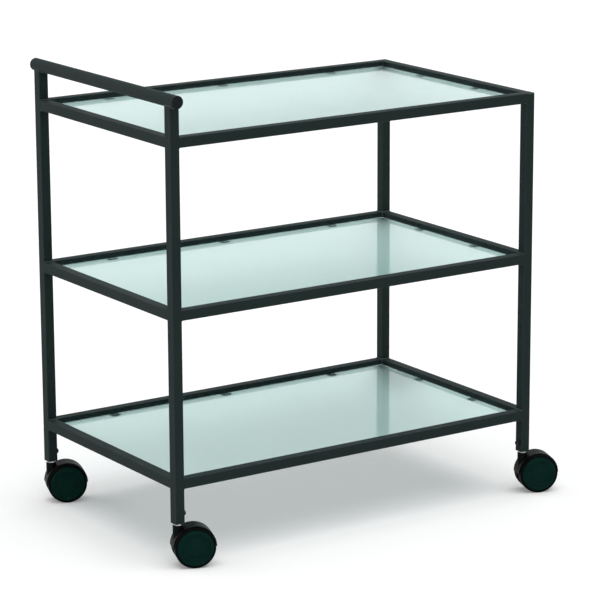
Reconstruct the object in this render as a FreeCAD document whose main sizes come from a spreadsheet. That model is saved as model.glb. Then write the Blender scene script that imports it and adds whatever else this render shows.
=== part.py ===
import FreeCAD, Part
import math
import os
import re
import Sketcher

# Serving trolley: a welded frame of square tube with three glass shelves, a round push
# bar across its left end and four twin-wheel castors. Millimetres, +Z up, +X along the
# trolley away from the push bar, -Y the long side that is seen first. The origin is on
# the floor, in the middle of the four castors' wheels.

SIZES = {
    # Frame, measured over the tubes
    "frame_length": 850,
    "frame_depth": 512,
    "tube_size": 20,
    "tube_wall": 1.5,
    "tube_corner": 1,
    "leg_below_rail": 68,
    "shelf_pitch": 328,
    # Push bar across the two left posts
    "bar_rise": 67.5,
    "bar_diameter": 25,
    "bar_wall": 1.5,
    "bar_overhang": 10,
    "weld_gap": 0.1,
    # Plugs in the bar's ends
    "plug_flange": 2,
    "plug_depth": 12,
    "plug_round": 1.2,
    "plug_gap": 0.2,
    # Plates that close the two right posts
    "plate_thickness": 1.5,
    "plate_spigot": 4,
    # Glass panes, and the tabs and pads under them
    "glass_thickness": 6,
    "glass_gap": 2,
    "glass_corner": 4,
    "glass_arris": 0.6,
    "tab_width": 20,
    "tab_reach": 12,
    "tab_thickness": 3,
    "tab_clip": 3,
    "pad_diameter": 8,
    "pad_height": 1,
    "pad_inset": 7,
    # Threaded blocks in the lower ends of the posts, and the screws that hold them
    "insert_height": 30,
    "insert_gap": 0.2,
    "thread_gap": 0.1,
    "screw_rise": 18,
    "screw_shank": 6,
    "screw_head": 10,
    "screw_head_height": 6,
    "screw_bevel": 0.6,
    "screw_tip_gap": 0.3,
    "socket_flats": 5,
    "socket_depth": 3,
    # Castor stem: a threaded stem, a hexagon collar and the pin that the hood turns on
    "stem_diameter": 10,
    "stem_length": 26,
    "stem_bevel": 1,
    "collar_flats": 15,
    "collar_height": 3,
    "seat_gap": 0.3,
    "swivel_gap": 0.3,
    "pin_diameter": 8,
    "pin_length": 22,
    "pin_bevel": 0.6,
    "clip_drop": 9,
    "clip_diameter": 10.6,
    "clip_thickness": 1.2,
    "clip_bite": 0.5,
    "clip_gap": 0.1,
    "clip_mouth": 5,
    "recess_gap": 0.4,
    # Castor hood
    "castor_trail": 30,
    "trail_angle": -20,
    "hood_height": 82.9,
    "hood_radius": 42.5,
    "hood_width": 36,
    "hood_round": 1.2,
    "neck_diameter": 20,
    "neck_round": 1,
    "boss_diameter": 20,
    "well_gap": 1,
    "web_gap": 0.6,
    # Axle
    "axle_diameter": 8,
    "axle_press_gap": 0.02,
    "axle_bevel": 0.5,
    "axle_end_gap": 0.4,
    "axle_groove_width": 2,
    "axle_groove_depth": 0.7,
    "axle_groove_inset": 2,
    # Wheels and their tyres
    "wheel_diameter": 80,
    "castor_width": 50,
    "wheel_gap": 12,
    "running_gap": 0.08,
    "hub_diameter": 17,
    "bead_gap": 0.3,
    "hub_floor": 4,
    "face_wall": 3,
    "rim_wall": 3.2,
    "rim_inset": 0.6,
    "rim_edge_drop": 2.6,
    "ring_diameter": 60,
    "ring_width": 2,
    "ring_slope": 1.4,
    "field_drop": 1.8,
    "recess_diameter": 42,
    "recess_width": 2,
    "recess_drop": 2.6,
    "dome_diameter": 20,
    "dome_drop": 0.5,
    "tyre_thickness": 4,
    "tyre_gap": 0.05,
    "tyre_edge_drop": 1.5,
    "tyre_outer_round": 3,
    "tyre_inner_round": 1.2,
    # How far a cut runs past what it cuts
    "overrun": 5,
}

# Places worked out from the sizes
PLACES = {
    "clear_length": "frame_length - 2 * tube_size",
    "clear_depth": "frame_depth - 2 * tube_size",
    "tube_bore": "tube_size - 2 * tube_wall",
    "post_across": "(frame_length - tube_size) / 2",
    "post_along": "(frame_depth - tube_size) / 2",
    "middle_across": "-castor_trail * cos(trail_angle)",
    "middle_along": "-castor_trail * sin(trail_angle)",
    "leg_foot": "hood_height + swivel_gap + collar_height + seat_gap",
    "lowest_rail": "leg_foot + leg_below_rail",
    "frame_top": "lowest_rail + 2 * shelf_pitch + tube_size",
    "bar_height": "frame_top + bar_rise",
    "bar_radius": "bar_diameter / 2",
    "bar_half": "frame_depth / 2 + bar_overhang",
    "plug_radius": "bar_radius - bar_wall - plug_gap",
    "insert_size": "tube_bore - 2 * insert_gap",
    "screw_tip": "stem_diameter / 2 + screw_tip_gap",
    "screw_end": "tube_size / 2 + screw_head_height",
    "collar_foot": "hood_height + swivel_gap",
    "stem_top": "leg_foot + stem_length",
    "pin_foot": "hood_height - pin_length",
    "pin_radius": "pin_diameter / 2",
    "clip_foot": "hood_height - clip_drop",
    "groove_radius": "pin_radius - clip_bite - clip_gap",
    "wheel_radius": "wheel_diameter / 2",
    "well_radius": "wheel_radius + well_gap",
    "web_half": "wheel_gap / 2 - web_gap",
    "axle_radius": "axle_diameter / 2",
    "hub_end": "castor_width / 2 - dome_drop - hub_floor",
    "axle_half": "hub_end - axle_end_gap",
    "groove_out": "axle_half - axle_groove_inset",
    "groove_in": "groove_out - axle_groove_width",
    "rim_radius": "wheel_radius - tyre_thickness",
}

SHELVES = ("bottom", "middle", "top")
LEFT, RIGHT = -1, 1
FRONT, REAR = -1, 1
CORNERS = {
    "front_left": (LEFT, FRONT),
    "rear_left": (LEFT, REAR),
    "front_right": (RIGHT, FRONT),
    "rear_right": (RIGHT, REAR),
}
ORDER_TOLERANCE = 1e-6
long_rail_tab_shares = (-0.333, 0, 0.333)
short_rail_tab_shares = (-0.2, 0.2)

doc = FreeCAD.newDocument("serving_trolley")
sheet = doc.addObject("Spreadsheet::Sheet", "sizes")
for row, (word, value) in enumerate(SIZES.items(), start=1):
    sheet.set("A%d" % row, word)
    sheet.set("B%d" % row, str(value))
    sheet.setAlias("B%d" % row, word)
doc.recompute()

pieces = []


def formula(text):
    """An expression written in plain names, spelt out for the document."""
    def spell(found):
        word = found.group(0)
        if word in PLACES:
            return "(" + formula(PLACES[word]) + ")"
        return "sizes." + word if word in SIZES else word
    return re.sub(r"[a-z_]+", spell, text)


def bind(thing, size, text):
    thing.setExpression(size, formula(text))


def place(thing, across, along, up, turn="0", axis="0; 0; 1"):
    """Put a piece at a point, turned about an axis through it."""
    spot = "placement(vector(%s; %s; %s); rotation(vector(%s); %s))"
    bind(thing, "Placement", spot % (across, along, up, axis, turn))


def keep(piece, label):
    piece.Label = label
    pieces.append(piece)


# Bodies, sketches and features

def new_body(label, several=False):
    body = doc.addObject("PartDesign::Body", label)
    body.AllowCompound = several
    keep(body, label)
    return body


def sketch_on(body, plane, lift="0"):
    """A sketch on one of the body's own origin planes, lifted off it along its normal."""
    sketch = body.newObject("Sketcher::SketchObject", "outline")
    support = [part for part in body.Origin.OriginFeatures if part.Role == plane][0]
    sketch.AttachmentSupport = [(support, "")]
    sketch.MapMode = "FlatFace"
    bind(sketch, "AttachmentOffset.Base.z", lift)
    return sketch


def add_polygon(sketch, corners):
    """A closed outline with straight sides; each corner is a pair of expressions."""
    count = len(corners)
    guesses = []
    for index in range(count):
        angle = 2 * math.pi * index / count
        guesses.append(FreeCAD.Vector(math.cos(angle), math.sin(angle), 0))
    sides = [Part.LineSegment(guesses[i], guesses[(i + 1) % count]) for i in range(count)]
    first = sketch.GeometryCount
    sketch.addGeometry(sides, False)
    joins = []
    for index in range(count):
        before = first + (index - 1) % count
        joins.append(Sketcher.Constraint("Coincident", before, 2, first + index, 1))
    sketch.addConstraint(joins)
    for index, (across, up) in enumerate(corners):
        hold(sketch, first + index, 1, guesses[index], across, up)


def add_circle(sketch, across, up, radius):
    centre = FreeCAD.Vector(0, 0, 0)
    circle = Part.Circle(centre, FreeCAD.Vector(0, 0, 1), 1)
    index = sketch.addGeometry(circle, False)
    hold(sketch, index, 3, centre, across, up)
    size = sketch.addConstraint(Sketcher.Constraint("Radius", index, circle.Radius))
    bind(sketch, "Constraints[%d]" % size, radius)


def hold(sketch, side, point, guess, across, up):
    """Tie one point of a sketch to the origin by two expressions."""
    for kind, start, text in (("DistanceX", guess.x, across), ("DistanceY", guess.y, up)):
        size = sketch.addConstraint(Sketcher.Constraint(kind, -1, 1, side, point, start))
        bind(sketch, "Constraints[%d]" % size, text)


def add_rectangle(sketch, across, up, width, height):
    """A rectangle about a centre."""
    low_across = "(%s) - (%s) / 2" % (across, width)
    high_across = "(%s) + (%s) / 2" % (across, width)
    low_up = "(%s) - (%s) / 2" % (up, height)
    high_up = "(%s) + (%s) / 2" % (up, height)
    add_polygon(sketch, [(low_across, low_up), (high_across, low_up),
                         (high_across, high_up), (low_across, high_up)])


def add_feature(body, kind, sketch):
    feature = body.newObject("PartDesign::" + kind, kind.lower())
    feature.Profile = sketch
    return feature


def pad(body, sketch, length, symmetric=False, backwards=False):
    feature = add_feature(body, "Pad", sketch)
    feature.SideType = "Symmetric" if symmetric else "One side"
    feature.Reversed = backwards
    bind(feature, "Length", length)
    return feature


def pocket(body, sketch, length, symmetric=False, backwards=False):
    """A straight cut against the sketch's normal, or along it if backwards."""
    feature = add_feature(body, "Pocket", sketch)
    feature.SideType = "Symmetric" if symmetric else "One side"
    feature.Reversed = backwards
    bind(feature, "Length", length)
    return feature


def revolve(body, sketch, axis, kind="Revolution"):
    feature = add_feature(body, kind, sketch)
    feature.ReferenceAxis = (sketch, [axis])
    return feature


def soften(body, base, edges, size, kind="Fillet"):
    """Round or chamfer the edges of a feature; size is a single expression."""
    feature = body.newObject("PartDesign::" + kind, kind.lower())
    feature.Base = (base, edges)
    bind(feature, "Radius" if kind == "Fillet" else "Size", size)
    return feature


def edges_where(feature, wanted):
    """The names of a feature's edges that a test picks out."""
    doc.recompute()
    shape = feature.Shape
    return ["Edge%d" % number for number, edge in enumerate(shape.Edges, start=1) if wanted(edge)]


def near(first, second):
    return abs(first - second) < ORDER_TOLERANCE * sheet.get("frame_length")


def runs_up(edge):
    """Whether an edge is a straight one along the body's own Z."""
    low, high = edge.BoundBox.ZMin, edge.BoundBox.ZMax
    return edge.Curve.TypeId == "Part::GeomLine" and near(edge.Length, high - low)


def is_circle(edge, radius):
    return edge.Curve.TypeId == "Part::GeomCircle" and near(edge.Curve.Radius, radius)


# Primitives

def cylinder(radius, height, across="0", along="0", up="0", turn="0", axis="0; 0; 1"):
    thing = doc.addObject("Part::Cylinder", "round")
    bind(thing, "Radius", radius)
    bind(thing, "Height", height)
    place(thing, across, along, up, turn, axis)
    return thing


def block(length, width, height, across, along, up):
    """A box about the middle of its base."""
    thing = doc.addObject("Part::Box", "block")
    bind(thing, "Length", length)
    bind(thing, "Width", width)
    bind(thing, "Height", height)
    place(thing, "%s - (%s) / 2" % (across, length), "%s - (%s) / 2" % (along, width), up)
    return thing


def cut(base, *tools):
    for tool in tools:
        result = doc.addObject("Part::Cut", "cut")
        result.Base = base
        result.Tool = tool
        base = result
    return base


def fuse(*parts):
    result = doc.addObject("Part::MultiFuse", "joined")
    result.Shapes = list(parts)
    return result


def group_at_corners(label, make, up, corners=CORNERS.values()):
    """One piece made for each corner, with its own +X towards the middle of the trolley."""
    group = doc.addObject("Part::Compound", label)
    members = []
    for side, end in corners:
        piece = make()
        place_at_corner(piece, side, end, up)
        members.append(piece)
    group.Links = members
    keep(group, label)


def place_at_corner(piece, side, end, up, inward=True, turn="0"):
    if inward:
        turn = "0" if side == LEFT else "180"
    across = "middle_across + %d * post_across" % side
    along = "middle_along + %d * post_along" % end
    place(piece, across, along, up, turn)


# Square tubes: the posts and rails. All are cut square and butt-welded, then ground flush.

def square_tube(label, length):
    body = new_body(label)
    section = sketch_on(body, "XY_Plane")
    add_rectangle(section, "0", "0", "tube_size", "tube_size")
    add_rectangle(section, "0", "0", "tube_bore", "tube_bore")
    tube = pad(body, section, length)
    half = sheet.get("tube_size") / 2
    corners = edges_where(tube, lambda edge: runs_up(edge) and near(edge.BoundBox.Center.x ** 2, half ** 2))
    return body, soften(body, tube, corners, "tube_corner")


def make_post(name, side, end):
    """A post runs from above its castor to the top rails, or on the left to the push bar."""
    top = "bar_height" if side == LEFT else "frame_top - plate_thickness"
    body, _ = square_tube("post_" + name, top + " - leg_foot")
    hole = sketch_on(body, "YZ_Plane")
    add_circle(hole, "0", "screw_rise", "screw_shank / 2 + insert_gap")
    pocket(body, hole, "tube_size / 2 + overrun", backwards=True)
    if side == LEFT:
        saddle = sketch_on(body, "XZ_Plane")
        add_circle(saddle, "0", "bar_height - leg_foot", "bar_radius + weld_gap")
        pocket(body, saddle, "tube_size + 2 * overrun", symmetric=True)
    place_at_corner(body, side, end, "leg_foot")


def make_rails(shelf, level):
    """The four rails of one shelf, between the posts and flush with their outer faces."""
    up = "lowest_rail + %d * shelf_pitch + tube_size / 2" % level
    for name, end in (("front", FRONT), ("rear", REAR)):
        body, _ = square_tube("%s_%s_rail" % (shelf, name), "clear_length")
        along = "middle_along + %d * post_along" % end
        place(body, "middle_across - clear_length / 2", along, up, "90", "0; 1; 0")
    for name, side in (("left", LEFT), ("right", RIGHT)):
        body, _ = square_tube("%s_%s_rail" % (shelf, name), "clear_depth")
        across = "middle_across + %d * post_across" % side
        place(body, across, "middle_along - clear_depth / 2", up, "-90", "1; 0; 0")


# Push bar: round tube laid across the saddles of the two left posts

def place_on_bar(body):
    place(body, "middle_across - post_across", "middle_along", "bar_height")


def make_bar():
    body = new_body("push_bar")
    section = sketch_on(body, "XZ_Plane")
    add_circle(section, "0", "0", "bar_radius")
    add_circle(section, "0", "0", "bar_radius - bar_wall")
    pad(body, section, "2 * bar_half", symmetric=True)
    place_on_bar(body)


def make_bar_plugs():
    """Two moulded plugs, each a rounded flange on a spigot that is pushed into the bar."""
    body = new_body("push_bar_plugs", several=True)
    section = sketch_on(body, "YZ_Plane")
    for sign in (FRONT, REAR):
        add_polygon(section, [("%d * (%s)" % (sign, out), up) for out, up in (
            ("bar_half - plug_depth", "0"),
            ("bar_half + plug_flange", "0"),
            ("bar_half + plug_flange", "bar_radius"),
            ("bar_half", "bar_radius"),
            ("bar_half", "plug_radius"),
            ("bar_half - plug_depth", "plug_radius"),
        )])
    plugs = revolve(body, section, "H_Axis")
    radius = sheet.get("bar_diameter") / 2
    reach = sheet.get("frame_depth") / 2 + sheet.get("bar_overhang") + sheet.get("plug_flange")
    rims = edges_where(plugs, lambda edge: is_circle(edge, radius) and near(abs(edge.Curve.Center.y), reach))
    soften(body, plugs, rims, "plug_round")
    place_on_bar(body)


# Plates that close the tops of the right posts

def make_post_plates():
    body = new_body("post_plates", several=True)
    for size, length, backwards in (("tube_size", "plate_thickness", False),
                                    ("tube_bore - 2 * plug_gap", "plate_spigot", True)):
        section = sketch_on(body, "XY_Plane")
        for end in (FRONT, REAR):
            add_rectangle(section, "0", "%d * post_along" % end, size, size)
        plates = pad(body, section, length, backwards=backwards)
    half = sheet.get("tube_size") / 2
    corners = edges_where(plates, lambda edge: runs_up(edge) and near(abs(edge.BoundBox.Center.x), half))
    soften(body, plates, corners, "tube_corner")
    place(body, "middle_across + post_across", "middle_along", "frame_top - plate_thickness")


# Shelves: a pane of glass on soft pads, on tabs welded inside the rails

def make_glass(shelf, level):
    body = new_body(shelf + "_glass")
    outline = sketch_on(body, "XY_Plane")
    add_rectangle(outline, "0", "0", "clear_length - 2 * glass_gap", "clear_depth - 2 * glass_gap")
    pane = pad(body, outline, "glass_thickness")
    pane = soften(body, pane, edges_where(pane, runs_up), "glass_corner")
    rims = edges_where(pane, lambda edge: near(edge.BoundBox.ZMin, edge.BoundBox.ZMax))
    soften(body, pane, rims, "glass_arris", kind="Chamfer")
    up = "lowest_rail + %d * shelf_pitch + tab_thickness + pad_height" % level
    place(body, "middle_across", "middle_along", up)


def tab_places():
    """Each tab's middle along its rail, the side it is on, and whether the rail is a long one."""
    for end in (FRONT, REAR):
        for share in long_rail_tab_shares:
            yield "%s * clear_length" % share, end, True
    for side in (LEFT, RIGHT):
        for share in short_rail_tab_shares:
            yield "%s * clear_depth" % share, side, False


def make_tabs(shelf, level):
    """Flat tabs with clipped corners, level with the underside of the rails."""
    body = new_body(shelf + "_glass_tabs", several=True)
    outline = sketch_on(body, "XY_Plane")
    for middle, side, is_long in tab_places():
        half = "clear_depth / 2" if is_long else "clear_length / 2"
        root = "%d * (%s)" % (side, half)
        shoulder = "%d * (%s - tab_reach + tab_clip)" % (side, half)
        tip = "%d * (%s - tab_reach)" % (side, half)
        corners = [("%s - tab_width / 2" % middle, root),
                   ("%s + tab_width / 2" % middle, root),
                   ("%s + tab_width / 2" % middle, shoulder),
                   ("%s + tab_width / 2 - tab_clip" % middle, tip),
                   ("%s - tab_width / 2 + tab_clip" % middle, tip),
                   ("%s - tab_width / 2" % middle, shoulder)]
        add_polygon(outline, corners if is_long else [(up, across) for across, up in corners])
    pad(body, outline, "tab_thickness")
    place(body, "middle_across", "middle_along", "lowest_rail + %d * shelf_pitch" % level)


def make_pads(shelf, level):
    """A clear soft disc on each tab, which the glass rests on."""
    body = new_body(shelf + "_glass_pads", several=True)
    outline = sketch_on(body, "XY_Plane")
    for middle, side, is_long in tab_places():
        half = "clear_depth / 2" if is_long else "clear_length / 2"
        inset = "%d * (%s - pad_inset)" % (side, half)
        centre = (middle, inset) if is_long else (inset, middle)
        add_circle(outline, centre[0], centre[1], "pad_diameter / 2")
    pad(body, outline, "pad_height")
    up = "lowest_rail + %d * shelf_pitch + tab_thickness" % level
    place(body, "middle_across", "middle_along", up)


# Lower ends of the posts: a threaded block in each, held by a screw through the tube

def make_insert():
    solid = block("insert_size", "insert_size", "insert_height", "0", "0", "0")
    bore = cylinder("stem_diameter / 2 + thread_gap", "insert_height + 2 * overrun", up="-overrun")
    hole = cylinder("screw_shank / 2 + thread_gap", "tube_size / 2 + overrun", up="screw_rise",
                    turn="90", axis="0; 1; 0")
    return cut(solid, bore, hole)


def make_screw():
    """A socket cap screw along +X, its head seated on the side of the tube that faces inwards."""
    shank = cylinder("screw_shank / 2", "tube_size / 2 - screw_tip", across="screw_tip",
                     turn="90", axis="0; 1; 0")
    head = cylinder("screw_head / 2", "screw_head_height - screw_bevel", across="tube_size / 2",
                    turn="90", axis="0; 1; 0")
    rim = doc.addObject("Part::Cone", "rim")
    bind(rim, "Radius1", "screw_head / 2")
    bind(rim, "Radius2", "screw_head / 2 - screw_bevel")
    bind(rim, "Height", "screw_bevel")
    place(rim, "screw_end - screw_bevel", "0", "0", "90", "0; 1; 0")
    socket = doc.addObject("Part::Prism", "socket")
    bind(socket, "Circumradius", "socket_flats / sqrt(3)")
    bind(socket, "Height", "socket_depth + overrun")
    place(socket, "screw_end - socket_depth", "0", "0", "90", "0; 1; 0")
    return cut(fuse(shank, head, rim), socket)


def make_clip():
    """A snap ring in the groove of the castor's pin, open on one side."""
    ring = cylinder("clip_diameter / 2", "clip_thickness")
    hole = cylinder("groove_radius + clip_gap", "clip_thickness + 2 * overrun", up="-overrun")
    mouth = block("clip_diameter", "clip_mouth", "clip_thickness + 2 * overrun", "clip_diameter / 2",
                  "0", "-overrun")
    return cut(ring, hole, mouth)


# Castors. Each is drawn about its own swivel, with the wheels trailing along +X.

def make_stem(name):
    body = new_body("castor_%s_stem" % name)
    profile = sketch_on(body, "XZ_Plane")
    add_polygon(profile, [
        ("0", "pin_foot"),
        ("pin_radius - pin_bevel", "pin_foot"),
        ("pin_radius", "pin_foot + pin_bevel"),
        ("pin_radius", "clip_foot - clip_gap"),
        ("groove_radius", "clip_foot - clip_gap"),
        ("groove_radius", "clip_foot + clip_thickness + clip_gap"),
        ("pin_radius", "clip_foot + clip_thickness + clip_gap"),
        ("pin_radius", "collar_foot"),
        ("collar_flats / 2", "collar_foot"),
        ("collar_flats / 2", "collar_foot + collar_height"),
        ("stem_diameter / 2", "collar_foot + collar_height"),
        ("stem_diameter / 2", "stem_top - stem_bevel"),
        ("stem_diameter / 2 - stem_bevel", "stem_top"),
        ("0", "stem_top"),
    ])
    revolve(body, profile, "V_Axis")
    collar = body.newObject("PartDesign::AdditivePrism", "collar")
    support = [part for part in body.Origin.OriginFeatures if part.Role == "XY_Plane"][0]
    collar.AttachmentSupport = [(support, "")]
    collar.MapMode = "FlatFace"
    bind(collar, "AttachmentOffset.Base.z", "collar_foot")
    bind(collar, "Circumradius", "collar_flats / sqrt(3)")
    bind(collar, "Height", "collar_height")
    return body


def make_hood(name):
    """An arch over both wheels on a web between them, with the neck that holds the pin."""
    body = new_body("castor_%s_hood" % name)
    arch = sketch_on(body, "XZ_Plane")
    add_circle(arch, "castor_trail", "wheel_radius", "hood_radius")
    pad(body, arch, "hood_width", symmetric=True)
    neck = sketch_on(body, "XY_Plane", "wheel_radius")
    add_circle(neck, "0", "0", "neck_diameter / 2")
    pad(body, neck, "hood_height - wheel_radius")
    below = sketch_on(body, "XZ_Plane")
    add_rectangle(below, "castor_trail", "wheel_radius - hood_radius / 2 - overrun / 2",
                  "2 * hood_radius + 2 * overrun", "hood_radius + overrun")
    shell = pocket(body, below, "hood_width + 2 * overrun", symmetric=True)
    reach = sheet.get("hood_radius")
    top = sheet.get("hood_height")
    neck_radius = sheet.get("neck_diameter") / 2
    lips = edges_where(shell, lambda edge: is_circle(edge, reach))
    shell = soften(body, shell, lips, "hood_round")
    rim = edges_where(shell, lambda edge: is_circle(edge, neck_radius) and near(edge.BoundBox.ZMin, top))
    shell = soften(body, shell, rim, "neck_round")
    boss = sketch_on(body, "XZ_Plane")
    add_circle(boss, "castor_trail", "wheel_radius", "boss_diameter / 2")
    pad(body, boss, "2 * web_half", symmetric=True)
    for lift, backwards in (("web_half", True), ("-web_half", False)):
        well = sketch_on(body, "XZ_Plane", lift)
        add_circle(well, "castor_trail", "wheel_radius", "well_radius")
        pocket(body, well, "hood_width / 2 + overrun", backwards=backwards)
    axle_hole = sketch_on(body, "XZ_Plane")
    add_circle(axle_hole, "castor_trail", "wheel_radius", "axle_radius + axle_press_gap")
    pocket(body, axle_hole, "hood_width + 2 * overrun", symmetric=True)
    bore = sketch_on(body, "XZ_Plane")
    add_polygon(bore, [
        ("0", "pin_foot - swivel_gap"),
        ("pin_radius + running_gap", "pin_foot - swivel_gap"),
        ("pin_radius + running_gap", "clip_foot - recess_gap"),
        ("clip_diameter / 2 + recess_gap", "clip_foot - recess_gap"),
        ("clip_diameter / 2 + recess_gap", "clip_foot + clip_thickness + recess_gap"),
        ("pin_radius + running_gap", "clip_foot + clip_thickness + recess_gap"),
        ("pin_radius + running_gap", "hood_height + overrun"),
        ("0", "hood_height + overrun"),
    ])
    revolve(body, bore, "V_Axis", kind="Groove")
    return body


def make_axle(name):
    """A steel axle, pressed into the hood and grooved at both ends for the wheels."""
    body = new_body("castor_%s_axle" % name)
    profile = sketch_on(body, "YZ_Plane")
    half = [
        ("groove_in", "axle_radius"),
        ("groove_in", "axle_radius - axle_groove_depth"),
        ("groove_out", "axle_radius - axle_groove_depth"),
        ("groove_out", "axle_radius"),
        ("axle_half - axle_bevel", "axle_radius"),
        ("axle_half", "axle_radius - axle_bevel"),
        ("axle_half", "0"),
    ]
    other_half = [("-(%s)" % out, up) for out, up in reversed(half)]
    add_polygon(profile, half + other_half)
    revolve(body, profile, "H_Axis")
    return body


def make_wheel(name, hand):
    """A moulded wheel, hollow towards the hood, with a bead that snaps in the axle's groove."""
    body = new_body("castor_%s_%s_wheel" % (name, hand))
    profile = sketch_on(body, "YZ_Plane")
    outer = "castor_width / 2"
    bore = "axle_radius + running_gap"
    bead = "axle_radius - axle_groove_depth + bead_gap"
    add_polygon(profile, [
        ("wheel_gap / 2", bore),
        ("groove_in + bead_gap", bore),
        ("groove_in + bead_gap", bead),
        ("groove_out - bead_gap", bead),
        ("groove_out - bead_gap", bore),
        ("hub_end", bore),
        ("hub_end", "0"),
        (outer + " - dome_drop", "0"),
        (outer + " - dome_drop", "dome_diameter / 2"),
        (outer + " - field_drop", "recess_diameter / 2 - recess_width"),
        (outer + " - recess_drop", "recess_diameter / 2 - recess_width / 2"),
        (outer + " - recess_drop", "recess_diameter / 2 + recess_width / 2"),
        (outer + " - field_drop", "recess_diameter / 2 + recess_width"),
        (outer + " - field_drop", "ring_diameter / 2 - ring_width / 2 - ring_slope"),
        (outer, "ring_diameter / 2 - ring_width / 2"),
        (outer, "ring_diameter / 2 + ring_width / 2"),
        (outer + " - rim_edge_drop", "rim_radius"),
        ("wheel_gap / 2 + rim_inset", "rim_radius"),
        ("wheel_gap / 2 + rim_inset", "rim_radius - rim_wall"),
        (outer + " - recess_drop - face_wall", "rim_radius - rim_wall"),
        (outer + " - recess_drop - face_wall", "hub_diameter / 2"),
        ("wheel_gap / 2", "hub_diameter / 2"),
    ])
    revolve(body, profile, "H_Axis")
    return body


def make_tyre(name, hand):
    body = new_body("castor_%s_%s_tyre" % (name, hand))
    profile = sketch_on(body, "YZ_Plane")
    outer = "castor_width / 2 - tyre_edge_drop"
    add_polygon(profile, [
        ("wheel_gap / 2", "rim_radius + tyre_gap"),
        (outer, "rim_radius + tyre_gap"),
        (outer, "wheel_radius"),
        ("wheel_gap / 2", "wheel_radius"),
    ])
    tread = revolve(body, profile, "H_Axis")
    radius = sheet.get("wheel_diameter") / 2
    middle = sheet.get("castor_width") / 4
    outside = edges_where(tread, lambda edge: is_circle(edge, radius) and edge.Curve.Center.y > middle)
    tread = soften(body, tread, outside, "tyre_outer_round")
    inside = edges_where(tread, lambda edge: is_circle(edge, radius) and edge.Curve.Center.y < middle)
    soften(body, tread, inside, "tyre_inner_round")
    return body


def make_castor(name, side, end):
    for piece in (make_stem(name), make_hood(name)):
        place_at_corner(piece, side, end, "0", inward=False, turn="trail_angle")
    across = "middle_across + %d * post_across + castor_trail * cos(trail_angle)" % side
    along = "middle_along + %d * post_along + castor_trail * sin(trail_angle)" % end
    place(make_axle(name), across, along, "wheel_radius", "trail_angle")
    for hand, turn in (("near", "trail_angle + 180"), ("far", "trail_angle")):
        for piece in (make_wheel(name, hand), make_tyre(name, hand)):
            place(piece, across, along, "wheel_radius", turn)


for corner, (side, end) in CORNERS.items():
    make_post(corner, side, end)
for level, shelf in enumerate(SHELVES):
    make_rails(shelf, level)
    make_glass(shelf, level)
    make_tabs(shelf, level)
    make_pads(shelf, level)
make_bar()
make_bar_plugs()
make_post_plates()
group_at_corners("leg_inserts", make_insert, "leg_foot")
group_at_corners("insert_screws", make_screw, "leg_foot + screw_rise")
group_at_corners("castor_clips", make_clip, "clip_foot")
for corner, (side, end) in CORNERS.items():
    make_castor(corner, side, end)

doc.recompute()
for thing in doc.Objects:
    if "Invalid" in thing.State or "Error" in thing.State:
        raise RuntimeError("%s was not made: %s" % (thing.Label, thing.State))
    if thing.TypeId in ("PartDesign::Pocket", "PartDesign::Groove"):
        if thing.Shape.Volume > thing.BaseFeature.Shape.Volume * (1 - ORDER_TOLERANCE):
            raise RuntimeError("%s cuts nothing" % thing.Label)
for piece in pieces:
    if piece.Shape.isNull() or not piece.Shape.isValid():
        raise RuntimeError("%s has no sound shape" % piece.Label)

os.makedirs("parts", exist_ok=True)
for piece in pieces:
    piece.Shape.exportStep("parts/%s.step" % piece.Label)
print("%d pieces written" % len(pieces))
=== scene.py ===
import math

import bmesh
import bpy
from mathutils import Matrix, Vector


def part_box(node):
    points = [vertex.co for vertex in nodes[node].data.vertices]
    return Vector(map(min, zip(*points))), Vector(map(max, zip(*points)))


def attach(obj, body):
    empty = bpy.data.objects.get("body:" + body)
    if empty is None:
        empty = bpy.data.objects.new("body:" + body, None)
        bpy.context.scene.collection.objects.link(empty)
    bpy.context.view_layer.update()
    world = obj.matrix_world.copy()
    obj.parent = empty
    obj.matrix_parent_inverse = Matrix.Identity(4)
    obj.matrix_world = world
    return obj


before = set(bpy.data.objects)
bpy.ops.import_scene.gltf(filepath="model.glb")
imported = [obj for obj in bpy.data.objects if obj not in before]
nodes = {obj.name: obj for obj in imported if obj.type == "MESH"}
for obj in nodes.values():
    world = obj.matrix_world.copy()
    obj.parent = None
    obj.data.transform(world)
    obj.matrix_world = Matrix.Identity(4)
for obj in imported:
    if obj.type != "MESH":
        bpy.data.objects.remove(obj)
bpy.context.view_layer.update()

# Posts, rails and closing plates. Square steel tube, welded, ground flush on the outside
# and powder-coated dark grey all together, so the coat has one fine orange-peel skin. Along
# the tube's corners it is paler, partly as coat worn thin and partly as a painted highlight.

SHELVES = ("bottom", "middle", "top")
SIDES = ("front", "rear", "left", "right")
CORNERS = ("front_left", "rear_left", "front_right", "rear_right")
coat_colour = (0.0112, 0.0210, 0.0202, 1)
coat_patch_colour = (0.0142, 0.0250, 0.0242, 1)
# Paler colour along the tube's corners: partly worn coat, partly a painted highlight.
coat_edge_wear_and_highlight_colour = (0.105, 0.128, 0.130, 1)
coat_peel_size = 0.0012
coat_peel_depth = 0.0001
coat_patch_size = 0.09
coat_edge_reach = 0.0012
coat_smooth, coat_rough = 0.58, 0.68
coat_gloss_level = 0.09
grain_detail, patch_detail = 3, 4
patch_low, patch_high = 0.35, 0.65
edge_samples = 6
edge_full_agreement = 0.88


def make_group(name, inputs, outputs):
    """An empty shader group; inputs are numbers with a default, outputs are numbers."""
    group = bpy.data.node_groups.new(name, "ShaderNodeTree")
    for word, value in inputs:
        socket = group.interface.new_socket(name=word, in_out="INPUT", socket_type="NodeSocketFloat")
        socket.default_value = value
    for word in outputs:
        group.interface.new_socket(name=word, in_out="OUTPUT", socket_type="NodeSocketFloat")
    return group, group.nodes.new("NodeGroupInput"), group.nodes.new("NodeGroupOutput")


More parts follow.
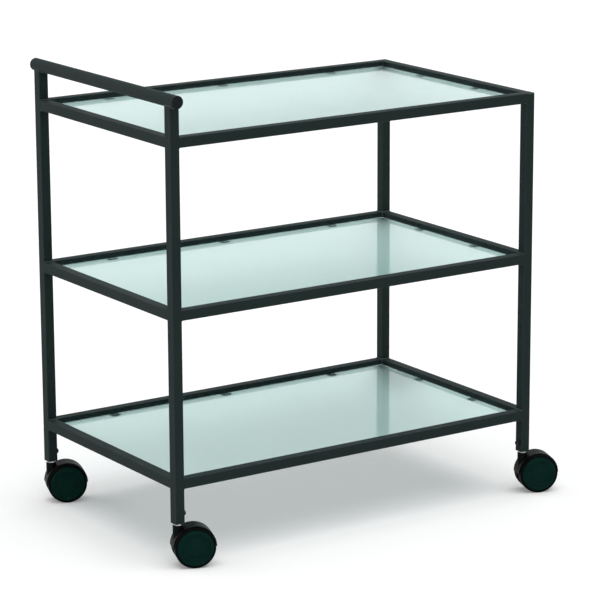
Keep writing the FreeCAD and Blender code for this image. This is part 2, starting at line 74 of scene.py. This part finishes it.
def maths(tree, operation, first, second):
    """A Math node; each term is a socket or a number."""
    node = tree.nodes.new("ShaderNodeMath")
    node.operation = operation
    for socket, term in zip(node.inputs, (first, second)):
        if isinstance(term, (int, float)):
            socket.default_value = term
        else:
            tree.links.new(term, socket)
    return node.outputs["Value"]


def make_grain_group():
    """Fine relief and broad patches on object coordinates, each of a size in metres."""
    sizes = (("Grain Size", coat_peel_size), ("Patch Size", coat_patch_size))
    group, given, result = make_group("surface_grain", sizes, ("Height", "Patches"))
    place = group.nodes.new("ShaderNodeTexCoord")
    for size, detail, output in (("Grain Size", grain_detail, "Height"),
                                 ("Patch Size", patch_detail, "Patches")):
        noise = group.nodes.new("ShaderNodeTexNoise")
        noise.inputs["Detail"].default_value = detail
        group.links.new(place.outputs["Object"], noise.inputs["Vector"])
        group.links.new(maths(group, "DIVIDE", 1.0, given.outputs[size]), noise.inputs["Scale"])
        group.links.new(noise.outputs["Fac"], result.inputs[output])
    return group


def make_edge_group():
    """How near a face is to a sharp corner of its piece, from 0 on the flat to 1."""
    group, given, result = make_group("edge_nearness", (("Reach", coat_edge_reach),), ("Edge",))
    rounded = group.nodes.new("ShaderNodeBevel")
    rounded.samples = edge_samples
    group.links.new(given.outputs["Reach"], rounded.inputs["Radius"])
    surface = group.nodes.new("ShaderNodeNewGeometry")
    agree = group.nodes.new("ShaderNodeVectorMath")
    agree.operation = "DOT_PRODUCT"
    group.links.new(rounded.outputs["Normal"], agree.inputs[0])
    group.links.new(surface.outputs["True Normal"], agree.inputs[1])
    spread = group.nodes.new("ShaderNodeMapRange")
    spread.inputs["From Min"].default_value = 1.0
    spread.inputs["From Max"].default_value = edge_full_agreement
    group.links.new(agree.outputs["Value"], spread.inputs["Value"])
    group.links.new(spread.outputs["Result"], result.inputs["Edge"])
    return group


grain_group = make_grain_group()
edge_group = make_edge_group()


def new_finish(name):
    material = bpy.data.materials.new(name)
    material.use_nodes = True
    return material, material.node_tree, material.node_tree.nodes["Principled BSDF"]


def add_group(tree, group, **sizes):
    node = tree.nodes.new("ShaderNodeGroup")
    node.node_tree = group
    for word, value in sizes.items():
        node.inputs[word.replace("_", " ")].default_value = value
    return node


def blend_colours(tree, mask, first, second):
    """A colour that goes from first to second with a mask; each is a colour or a socket."""
    mix = tree.nodes.new("ShaderNodeMix")
    mix.data_type = "RGBA"
    tree.links.new(mask, mix.inputs["Factor"])
    _, start, end = [socket for socket in mix.inputs if socket.enabled]
    for socket, colour in ((start, first), (end, second)):
        if isinstance(colour, tuple):
            socket.default_value = colour
        else:
            tree.links.new(colour, socket)
    return [socket for socket in mix.outputs if socket.enabled][0]


def spread_mask(tree, mask, low, high, from_low=patch_low, from_high=patch_high):
    """A mask stretched between two values."""
    spread = tree.nodes.new("ShaderNodeMapRange")
    spread.inputs["From Min"].default_value = from_low
    spread.inputs["From Max"].default_value = from_high
    spread.inputs["To Min"].default_value = low
    spread.inputs["To Max"].default_value = high
    tree.links.new(mask, spread.inputs["Value"])
    return spread.outputs["Result"]


def add_relief(tree, shader, height, distance):
    bump = tree.nodes.new("ShaderNodeBump")
    bump.inputs["Distance"].default_value = distance
    tree.links.new(height, bump.inputs["Height"])
    tree.links.new(bump.outputs["Normal"], shader.inputs["Normal"])


def paint_node(name, material):
    """Give a fixed piece its finish."""
    mesh = nodes[name].data
    mesh.materials.clear()
    mesh.materials.append(material)


def make_coat(name, edge_wear_and_highlight):
    material, tree, shader = new_finish(name)
    grain = add_group(tree, grain_group, Grain_Size=coat_peel_size, Patch_Size=coat_patch_size)
    patches = spread_mask(tree, grain.outputs["Patches"], 0.0, 1.0)
    colour = blend_colours(tree, patches, coat_colour, coat_patch_colour)
    # Paler along the corners: partly coat worn thin, partly a painted highlight.
    if edge_wear_and_highlight:
        edge = add_group(tree, edge_group, Reach=coat_edge_reach)
        colour = blend_colours(tree, edge.outputs["Edge"], colour, coat_edge_wear_and_highlight_colour)
    tree.links.new(colour, shader.inputs["Base Color"])
    dull = spread_mask(tree, grain.outputs["Patches"], coat_smooth, coat_rough)
    tree.links.new(dull, shader.inputs["Roughness"])
    shader.inputs["Specular IOR Level"].default_value = coat_gloss_level
    add_relief(tree, shader, grain.outputs["Height"], coat_peel_depth)
    return material


coat = make_coat("powder_coat", True)
ground_coat = make_coat("powder_coat_on_seams", False)
rails = ["%s_%s_rail" % (shelf, side) for shelf in SHELVES for side in SIDES]
for name in ["post_" + corner for corner in CORNERS] + rails + ["post_plates"]:
    paint_node(name, coat)

# Welds. Each rail is welded round its end where it meets the posts. On the outside the bead
# is ground flush before coating, which closes the joint, and in the corners it stays, as a
# small row of ripples.

bead_radius = 0.0019
seam_width = 0.005
seam_depth = 0.0015
seam_rise = 0.00005
seam_end_gap = 0.001
ripple_step = 0.0016
ripple_length_share = 0.75
ripple_sides = 8
ripple_rings = 5


def add_ripple(shape, middle, along, radius):
    """One ripple of weld, a small lens that lies across the bead's run."""
    lens = Matrix.Diagonal((radius, radius, radius * ripple_length_share, 1))
    place = Matrix.Translation(middle) @ along.to_track_quat("Z", "Y").to_matrix().to_4x4()
    bmesh.ops.create_uvsphere(shape, u_segments=ripple_sides, v_segments=ripple_rings, radius=1,
                              matrix=place @ lens)


def join_bead(weld, bead):
    """Add a finished bead to the weld that it belongs to."""
    mesh = bpy.data.meshes.new("bead")
    bead.to_mesh(mesh)
    bead.free()
    weld.from_mesh(mesh)
    bpy.data.meshes.remove(mesh)


def add_bead(weld, start, end, radius=bead_radius):
    """A straight bead of weld between two points."""
    run = end - start
    count = round(run.length / ripple_step)
    bead = bmesh.new()
    for index in range(count + 1):
        add_ripple(bead, start + run * (index / count), run, radius)
    join_bead(weld, bead)


def add_seam(seams, foot, top, outwards, across):
    """A flush seam over the joint between a post's and a rail's outer faces."""
    size = seam_width * across + seam_depth * outwards
    middle = (foot + top) / 2 + outwards * (seam_rise - seam_depth / 2)
    block = Matrix.Diagonal((abs(size.x), abs(size.y), top.z - foot.z - 2 * seam_end_gap, 1))
    bmesh.ops.create_cube(seams, size=1, matrix=Matrix.Translation(middle) @ block)


def finish_weld(name, shape, finish=coat, smooth=True):
    """Make the welds one coated piece, which is fixed to the frame."""
    for face in shape.faces:
        face.smooth = smooth
    bmesh.ops.recalc_face_normals(shape, faces=shape.faces)
    mesh = bpy.data.meshes.new(name)
    shape.to_mesh(mesh)
    shape.free()
    mesh.materials.append(finish)
    weld = bpy.data.objects.new(name, mesh)
    bpy.context.scene.collection.objects.link(weld)
    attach(weld, "root")


def rail_ends(shelf, corner):
    """The inner corner of a post at one shelf, and the two directions its rails leave in."""
    end, side = corner.split("_")
    low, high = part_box("post_" + corner)
    foot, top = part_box("%s_%s_rail" % (shelf, end))
    across = high.x if side == "left" else low.x
    along = high.y if end == "front" else low.y
    outwards = Vector((-1 if side == "left" else 1, -1 if end == "front" else 1, 0))
    return Vector((across, along, foot.z)), Vector((across, along, top.z)), outwards * (high.x - low.x)


for shelf in SHELVES:
    beads = bmesh.new()
    seams = bmesh.new()
    for corner in CORNERS:
        foot, top, outwards = rail_ends(shelf, corner)
        width = abs(outwards.x)
        add_bead(beads, foot, top)
        ground_flush = shelf == "top" and corner.endswith("right")
        for way in (Vector((outwards.x, 0, 0)) / width, Vector((0, outwards.y, 0)) / width):
            for level in (foot,) if ground_flush else (foot, top):
                add_bead(beads, level, level + way * (width - bead_radius))
            add_seam(seams, foot + way * width, top + way * width, way, outwards / width - way)
    finish_weld(shelf + "_rail_welds", beads)
    finish_weld(shelf + "_ground_welds", seams, ground_coat, smooth=False)

# Push bar and its plugs. Round steel tube in the same coat, welded into the saddles of the
# left posts and closed by moulded black plugs with a soft rounded flange and a fine grain.

plug_colour = (0.0036, 0.0066, 0.0068, 1)
plug_pale_colour = (0.0062, 0.0100, 0.0104, 1)
plug_grain_size = 0.0005
plug_grain_depth = 0.00004
plug_smooth, plug_rough = 0.38, 0.5
plug_gloss_level = 0.1
moulded_patch_size = 0.02
bar_bead_radius = 0.0016


def make_moulded(name, colour, pale_colour, grain_size, depth, smooth, rough, gloss_level):
    """Moulded plastic: a faint grain, and slightly paler and duller in patches."""
    material, tree, shader = new_finish(name)
    grain = add_group(tree, grain_group, Grain_Size=grain_size, Patch_Size=moulded_patch_size)
    patches = spread_mask(tree, grain.outputs["Patches"], 0.0, 1.0)
    tree.links.new(blend_colours(tree, patches, colour, pale_colour), shader.inputs["Base Color"])
    tree.links.new(spread_mask(tree, grain.outputs["Patches"], smooth, rough), shader.inputs["Roughness"])
    shader.inputs["Specular IOR Level"].default_value = gloss_level
    add_relief(tree, shader, grain.outputs["Height"], depth)
    return material


def add_saddle_bead(weld, corner):
    """Weld round a post's saddle: an arc on its two end faces and a run along each side."""
    low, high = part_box("post_" + corner)
    bar_low, bar_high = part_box("push_bar")
    axis = (bar_low + bar_high) / 2
    radius = (bar_high.z - bar_low.z) / 2
    half = (high.x - low.x) / 2
    spread = math.asin(half / radius)
    steps = round(2 * spread * radius / ripple_step)
    for face in (low.y, high.y):
        arc = bmesh.new()
        for index in range(steps + 1):
            angle = spread * (2 * index / steps - 1)
            out = Vector((math.sin(angle), 0, -math.cos(angle)))
            along = Vector((math.cos(angle), 0, math.sin(angle)))
            add_ripple(arc, Vector((axis.x, face, axis.z)) + out * radius, along, bar_bead_radius)
        join_bead(weld, arc)
    drop = axis.z - radius * math.cos(spread)
    for side in (low.x, high.x):
        add_bead(weld, Vector((side, low.y, drop)), Vector((side, high.y, drop)), bar_bead_radius)


saddle_beads = bmesh.new()
for corner in ("front_left", "rear_left"):
    add_saddle_bead(saddle_beads, corner)
finish_weld("push_bar_welds", saddle_beads)
paint_node("push_bar", coat)
paint_node("push_bar_plugs", make_moulded("plug_plastic", plug_colour, plug_pale_colour, plug_grain_size,
                                          plug_grain_depth, plug_smooth, plug_rough, plug_gloss_level))

# Glass shelves. Three loose panes of 6 mm float glass, polished on top, satin-etched beneath
# and green in their depth. They lie on clear soft pads on tabs that are tacked inside the
# rails. The lowest pane casts nearly all of the soft shadow.

glass_colour = (0.650, 0.805, 0.785, 1)
glass_green = (0.50, 0.94, 0.87, 1)
glass_depth_density = 16.0
glass_shadow_colour = (0.860, 0.880, 0.885, 1)
lowest_shadow_colour = (0.220, 0.240, 0.245, 1)
glass_room_colour = (0.970, 0.985, 0.985, 1)
polish_patch_size = 0.15
etch_grain_size = 0.0004
etch_depth = 0.00002
etch_roughness = 0.55
polish_smooth, polish_rough = 0.07, 0.11
underside_normal = -0.5
glass_refraction = 1.46
glass_clear_share = 1.0
tack_radius = 0.0017
touch_gap = 1e-5
same_place = 1e-6
pad_colour = (0.55, 0.60, 0.60, 1)
pad_pale_colour = (0.62, 0.66, 0.66, 1)
pad_grain_size = 0.0008
pad_grain_depth = 0.00003
pad_smooth, pad_rough = 0.3, 0.45
pad_gloss_level = 0.5


def add_underside_mask(tree):
    """1 on faces that look down, also where a ray meets them from inside the glass."""
    surface = tree.nodes.new("ShaderNodeNewGeometry")
    parts = tree.nodes.new("ShaderNodeSeparateXYZ")
    tree.links.new(surface.outputs["True Normal"], parts.inputs["Vector"])
    turned = maths(tree, "SUBTRACT", 1.0, maths(tree, "MULTIPLY", surface.outputs["Backfacing"], 2.0))
    outward = maths(tree, "MULTIPLY", parts.outputs["Z"], turned)
    return maths(tree, "LESS_THAN", outward, underside_normal)


def make_glass(name, shadow_colour):
    """Glass that passes the room's light nearly whole, and the lamps' by its shadow colour."""
    material, tree, shader = new_finish(name)
    shader.inputs["Base Color"].default_value = glass_colour
    shader.inputs["Transmission Weight"].default_value = glass_clear_share
    shader.inputs["IOR"].default_value = glass_refraction
    shader.inputs["Metallic"].default_value = 0.0
    grain = add_group(tree, grain_group, Grain_Size=etch_grain_size, Patch_Size=polish_patch_size)
    polish = spread_mask(tree, grain.outputs["Patches"], polish_smooth, polish_rough)
    under = add_underside_mask(tree)
    etch = maths(tree, "MULTIPLY", under, etch_roughness)
    tree.links.new(maths(tree, "ADD", polish, etch), shader.inputs["Roughness"])
    add_relief(tree, shader, maths(tree, "MULTIPLY", grain.outputs["Height"], under), etch_depth)
    path = tree.nodes.new("ShaderNodeLightPath")
    output = tree.nodes["Material Output"]
    surface = shader.outputs["BSDF"]
    for ray, passed_colour in (("Is Diffuse Ray", glass_room_colour), ("Is Shadow Ray", shadow_colour)):
        clear = tree.nodes.new("ShaderNodeBsdfTransparent")
        clear.inputs["Color"].default_value = passed_colour
        mix = tree.nodes.new("ShaderNodeMixShader")
        tree.links.new(path.outputs[ray], mix.inputs["Fac"])
        tree.links.new(surface, mix.inputs[1])
        tree.links.new(clear.outputs["BSDF"], mix.inputs[2])
        surface = mix.outputs["Shader"]
    tree.links.new(surface, output.inputs["Surface"])
    depth = tree.nodes.new("ShaderNodeVolumeAbsorption")
    depth.inputs["Color"].default_value = glass_green
    depth.inputs["Density"].default_value = glass_depth_density
    tree.links.new(depth.outputs["Volume"], output.inputs["Volume"])
    return material


def add_tab_tacks(shelf):
    """A small tack of weld in each corner between a tab's sides and its rail."""
    tacks = bmesh.new()
    loose = bmesh.new()
    loose.from_mesh(nodes[shelf + "_glass_tabs"].data)
    bmesh.ops.remove_doubles(loose, verts=loose.verts, dist=same_place)
    low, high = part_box(shelf + "_glass_tabs")
    middle_height = (low.z + high.z) / 2
    for corner in loose.verts:
        on_rail = min(abs(corner.co.x - low.x), abs(corner.co.x - high.x),
                      abs(corner.co.y - low.y), abs(corner.co.y - high.y)) < touch_gap
        if on_rail and corner.co.z > middle_height:
            place = Vector((corner.co.x, corner.co.y, middle_height))
            add_ripple(tacks, place, Vector((0, 0, 1)), tack_radius)
    loose.free()
    finish_weld(shelf + "_tab_welds", tacks)


glass = make_glass("shelf_glass", glass_shadow_colour)
lowest_glass = make_glass("lowest_shelf_glass", lowest_shadow_colour)
clear_pad = make_moulded("clear_pad", pad_colour, pad_pale_colour, pad_grain_size, pad_grain_depth,
                         pad_smooth, pad_rough, pad_gloss_level)
for shelf in SHELVES:
    paint_node(shelf + "_glass", lowest_glass if shelf == "bottom" else glass)
    paint_node(shelf + "_glass_tabs", coat)
    paint_node(shelf + "_glass_pads", clear_pad)
    add_tab_tacks(shelf)

# Steel fittings under the posts. The threaded blocks and the castors' stems, snap rings and
# axles are turned or cut steel, bright zinc-plated. The blocks' screws are black-coated, and
# the coat is rubbed thin along the edges of their heads and sockets.

zinc_colour = (0.55, 0.56, 0.57, 1)
zinc_dull_colour = (0.40, 0.41, 0.41, 1)
zinc_grain_size = 0.0006
zinc_grain_depth = 0.00003
zinc_patch_size = 0.006
zinc_bright, zinc_dull = 0.22, 0.38
screw_colour = (0.0070, 0.0075, 0.0080, 1)
screw_patch_colour = (0.0110, 0.0115, 0.0120, 1)
screw_edge_colour = (0.045, 0.045, 0.046, 1)
screw_edge_reach = 0.0003
screw_grain_size = 0.0004
screw_grain_depth = 0.00002
screw_patch_size = 0.004
screw_smooth, screw_rough = 0.38, 0.5
screw_gloss_level = 0.3


def make_zinc():
    material, tree, shader = new_finish("bright_zinc")
    grain = add_group(tree, grain_group, Grain_Size=zinc_grain_size, Patch_Size=zinc_patch_size)
    patches = spread_mask(tree, grain.outputs["Patches"], 0.0, 1.0)
    tree.links.new(blend_colours(tree, patches, zinc_colour, zinc_dull_colour), shader.inputs["Base Color"])
    shader.inputs["Metallic"].default_value = 1.0
    dull = spread_mask(tree, grain.outputs["Patches"], zinc_bright, zinc_dull)
    tree.links.new(dull, shader.inputs["Roughness"])
    add_relief(tree, shader, grain.outputs["Height"], zinc_grain_depth)
    return material


def make_black_screw():
    material, tree, shader = new_finish("black_screw")
    grain = add_group(tree, grain_group, Grain_Size=screw_grain_size, Patch_Size=screw_patch_size)
    edge = add_group(tree, edge_group, Reach=screw_edge_reach)
    patches = spread_mask(tree, grain.outputs["Patches"], 0.0, 1.0)
    field = blend_colours(tree, patches, screw_colour, screw_patch_colour)
    tree.links.new(blend_colours(tree, edge.outputs["Edge"], field, screw_edge_colour),
                   shader.inputs["Base Color"])
    dull = spread_mask(tree, grain.outputs["Patches"], screw_smooth, screw_rough)
    tree.links.new(dull, shader.inputs["Roughness"])
    shader.inputs["Specular IOR Level"].default_value = screw_gloss_level
    add_relief(tree, shader, grain.outputs["Height"], screw_grain_depth)
    return material


zinc = make_zinc()
paint_node("insert_screws", make_black_screw())
for name in ["leg_inserts", "castor_clips"]:
    paint_node(name, zinc)
for corner in CORNERS:
    paint_node("castor_%s_stem" % corner, zinc)
    paint_node("castor_%s_axle" % corner, zinc)

# Castors. The hood is moulded black nylon with a slight gloss, the wheels are black nylon
# given a green tint, and the treads moulded on them a softer and duller black plastic.

hood_colour = (0.0030, 0.0038, 0.0037, 1)
hood_pale_colour = (0.0050, 0.0060, 0.0058, 1)
wheel_colour = (0.0010, 0.0170, 0.0130, 1)
wheel_pale_colour = (0.0022, 0.0208, 0.0160, 1)
tread_colour = (0.0010, 0.0012, 0.0013, 1)
tread_pale_colour = (0.0022, 0.0025, 0.0026, 1)
nylon_grain_size = 0.0007
tread_grain_size = 0.0005
castor_grain_depth = 0.00005
hood_smooth, hood_rough = 0.34, 0.46
wheel_smooth, wheel_rough = 0.40, 0.50
tread_smooth, tread_rough = 0.50, 0.62
castor_gloss_level = 0.035

hood_plastic = make_moulded("hood_nylon", hood_colour, hood_pale_colour, nylon_grain_size,
                            castor_grain_depth, hood_smooth, hood_rough, castor_gloss_level)
wheel_plastic = make_moulded("wheel_nylon", wheel_colour, wheel_pale_colour, nylon_grain_size,
                             castor_grain_depth, wheel_smooth, wheel_rough, castor_gloss_level)
tread = make_moulded("tread_plastic", tread_colour, tread_pale_colour, tread_grain_size,
                     castor_grain_depth, tread_smooth, tread_rough, castor_gloss_level)
for corner in CORNERS:
    paint_node("castor_%s_hood" % corner, hood_plastic)
    for hand in ("near", "far"):
        paint_node("castor_%s_%s_wheel" % (corner, hand), wheel_plastic)
        paint_node("castor_%s_%s_tyre" % (corner, hand), tread)

# Floor. A plain white sweep that carries the trolley's soft shadow. What looks straight at
# it, or sees it in gloss, sees it brought up to white, and a little more through the glass.

floor_reach = 30.0
floor_colour = (0.90, 0.90, 0.90, 1)
floor_dullness = 1.0
floor_gloss_level = 0.0
white = (1, 1, 1, 1)
before_scattering = 0.5
floor_lift = 0.17
floor_lift_in_glass = 0.28


def seen_directly(tree):
    """1 for what looks straight at a thing, or sees it in gloss or through glass, else 0."""
    path = tree.nodes.new("ShaderNodeLightPath")
    seen = maths(tree, "MAXIMUM", path.outputs["Is Camera Ray"], path.outputs["Is Glossy Ray"])
    seen = maths(tree, "MAXIMUM", seen, path.outputs["Is Transmission Ray"])
    unscattered = maths(tree, "LESS_THAN", path.outputs["Diffuse Depth"], before_scattering)
    return maths(tree, "MULTIPLY", seen, unscattered)


def make_floor():
    shape = bmesh.new()
    bmesh.ops.create_grid(shape, x_segments=1, y_segments=1, size=floor_reach)
    mesh = bpy.data.meshes.new("floor")
    shape.to_mesh(mesh)
    shape.free()
    floor = bpy.data.objects.new("floor", mesh)
    bpy.context.scene.collection.objects.link(floor)
    material, tree, shader = new_finish("floor_white")
    shader.inputs["Base Color"].default_value = floor_colour
    shader.inputs["Roughness"].default_value = floor_dullness
    shader.inputs["Specular IOR Level"].default_value = floor_gloss_level
    shader.inputs["Emission Color"].default_value = white
    path = tree.nodes.new("ShaderNodeLightPath")
    lift_in_glass = maths(tree, "MULTIPLY", path.outputs["Is Transmission Ray"], floor_lift_in_glass)
    lift = maths(tree, "ADD", maths(tree, "MULTIPLY", seen_directly(tree), floor_lift), lift_in_glass)
    tree.links.new(lift, shader.inputs["Emission Strength"])
    mesh.materials.append(material)


make_floor()

# Light. A very broad soft light from overhead and a weaker one from behind on the left, like
# two large softboxes, in a pale even room that shows slightly dimmed in gloss.

room_light = 0.32
sky_seen = 1.0
sky_dimmed_in_gloss = 0.08
overhead_strength = 2.15
overhead_softness = math.radians(72)
overhead_from = Vector((0.04, -0.20, 1))
side_strength = 0.80
side_softness = math.radians(60)
side_from = Vector((-0.62, 0.72, 0.16))


def add_softbox(name, strength, softness, comes_from):
    lamp = bpy.data.lights.new(name, "SUN")
    lamp.energy = strength
    lamp.angle = softness
    softbox = bpy.data.objects.new(name, lamp)
    softbox.rotation_euler = comes_from.to_track_quat("Z", "Y").to_euler()
    bpy.context.scene.collection.objects.link(softbox)


def make_room():
    world = bpy.data.worlds.new("room")
    world.use_nodes = True
    bpy.context.scene.world = world
    tree = world.node_tree
    path = tree.nodes.new("ShaderNodeLightPath")
    dimming = maths(tree, "MULTIPLY", path.outputs["Is Glossy Ray"], sky_dimmed_in_gloss)
    strength = spread_mask(tree, seen_directly(tree), room_light, sky_seen, 0.0, 1.0)
    strength = maths(tree, "MULTIPLY", strength, maths(tree, "SUBTRACT", 1.0, dimming))
    tree.links.new(strength, tree.nodes["Background"].inputs["Strength"])
    tree.nodes["Background"].inputs["Color"].default_value = white
    world.cycles.sampling_method = "NONE"


add_softbox("overhead", overhead_strength, overhead_softness, overhead_from)
add_softbox("side", side_strength, side_softness, side_from)
make_room()

# Camera, at the photograph's angle and distance, set out from the outer corner of the
# front left post.

camera_from_post = Vector((-2.710, -4.461, 0))
camera_height = 1.820
camera_turn = math.radians(33.837)
camera_dip = math.radians(13.948)
camera_roll = math.radians(-0.262)
picture_height_px = 600
focal_length_px = 2893
sensor_mm = 36


def make_camera():
    camera = bpy.data.cameras.new("camera")
    camera.sensor_width = sensor_mm
    camera.lens = focal_length_px / picture_height_px * sensor_mm
    camera.clip_end = 2 * floor_reach
    body = bpy.data.objects.new("camera", camera)
    bpy.context.scene.collection.objects.link(body)
    low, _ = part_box("post_front_left")
    place = Vector((low.x, low.y, camera_height)) + camera_from_post
    turn = (Matrix.Rotation(-camera_turn, 4, "Z")
            @ Matrix.Rotation(math.pi / 2 - camera_dip, 4, "X")
            @ Matrix.Rotation(camera_roll, 4, "Z"))
    body.matrix_world = Matrix.Translation(place) @ turn
    bpy.context.scene.camera = body


make_camera()
bpy.context.scene.view_settings.view_transform = "Standard"
